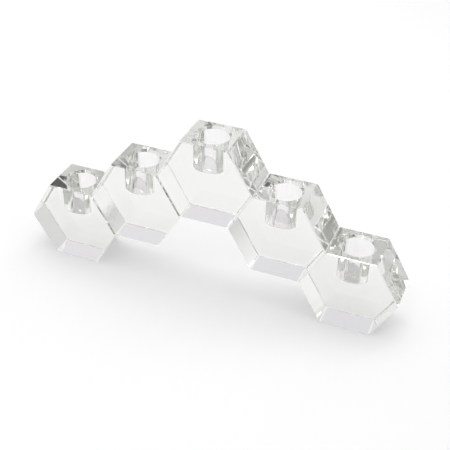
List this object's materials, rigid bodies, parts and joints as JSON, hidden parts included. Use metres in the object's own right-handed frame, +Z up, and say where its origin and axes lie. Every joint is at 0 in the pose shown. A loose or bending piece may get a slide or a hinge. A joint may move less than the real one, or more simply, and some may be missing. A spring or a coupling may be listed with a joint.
{
  "type": "menorah",
  "caption": "Clear crystal menorah of hexagonal blocks bonded side to side in a stepped arch, with a taper candle socket in the top of each block.",
  "frame": {"origin": "on the resting surface, under the middle of the row, halfway through the blocks' depth", "axes": "+Z up, +X along the row of blocks, -Y out of the front face"},
  "size_m": [0.2774, 0.033, 0.1203],
  "materials": {
    "crystal": "clear optical crystal, polished on every face, with narrow polished chamfers",
    "adhesive": "clear cured adhesive film"
  },
  "bodies": {
    "root": {"left_end_block": "crystal", "left_inner_block": "crystal", "centre_block": "crystal", "right_inner_block": "crystal", "right_end_block": "crystal", "left_outer_bond": "adhesive", "left_inner_bond": "adhesive", "right_inner_bond": "adhesive", "right_outer_bond": "adhesive"}
  },
  "joints": []
}
